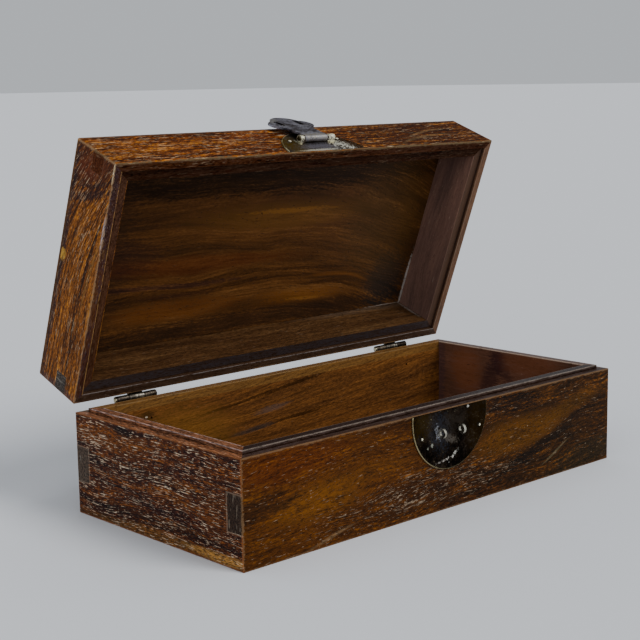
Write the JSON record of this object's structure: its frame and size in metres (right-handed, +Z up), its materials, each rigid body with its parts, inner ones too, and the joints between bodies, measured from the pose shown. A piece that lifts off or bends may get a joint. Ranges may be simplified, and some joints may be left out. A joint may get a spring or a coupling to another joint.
{
  "type": "glove box",
  "caption": "Long hardwood box with a rear-hinged lid, mitred and tenoned corners, a round split lock plate, and a cloud-shaped hasp that hangs over two staples.",
  "frame": {"origin": "centre of the underside of the base, the face that the box stands on", "axes": "+X to the right along the front as seen from in front, -Y out of the front with the lock plate, +Z up"},
  "size_m": [0.3, 0.187, 0.2168],
  "materials": {
    "hardwood": "waxed semi-gloss, open pores, worn edges",
    "panel_wood": "waxed semi-gloss, wavy figure",
    "aged_brass": "dark aged brass, rubbed at the edges",
    "bright_brass": "brass rubbed bright"
  },
  "bodies": {
    "base": {"base_front_board": "hardwood", "base_back_board": "hardwood", "base_left_board": "hardwood", "base_right_board": "hardwood", "base_floor_panel": "panel_wood", "lock_plate_lower": "aged_brass", "lock_plate_lower_nails": "bright_brass", "staple_left": "aged_brass", "staple_right": "aged_brass", "hinge_left_base_leaf": "aged_brass", "hinge_left_base_nails": "bright_brass", "hinge_left_pin": "bright_brass", "hinge_right_base_leaf": "aged_brass", "hinge_right_base_nails": "bright_brass", "hinge_right_pin": "bright_brass"},
    "lid": {"lid_front_board": "hardwood", "lid_back_board": "hardwood", "lid_left_board": "hardwood", "lid_right_board": "hardwood", "lid_top_panel": "panel_wood", "lock_plate_upper": "aged_brass", "lock_plate_upper_nails": "bright_brass", "hasp_pin": "bright_brass", "hinge_left_lid_leaf": "aged_brass", "hinge_left_lid_nails": "bright_brass", "hinge_right_lid_leaf": "aged_brass", "hinge_right_lid_nails": "bright_brass"},
    "hasp": {"hasp": "aged_brass"}
  },
  "joints": [
    {"name": "lid_hinge", "type": "hinge", "parent": "base", "child": "lid", "pos_m": [0, 0.076, 0.0592], "axis": [-1, 0, 0], "range_deg": [-69.6, 110.4]},
    {"name": "hasp_hinge", "type": "hinge", "parent": "lid", "child": "hasp", "pos_m": [-0.0004, 0.03308, 0.2053], "axis": [-1, 0, 0], "range_deg": [-185, 4.5]}
  ]
}
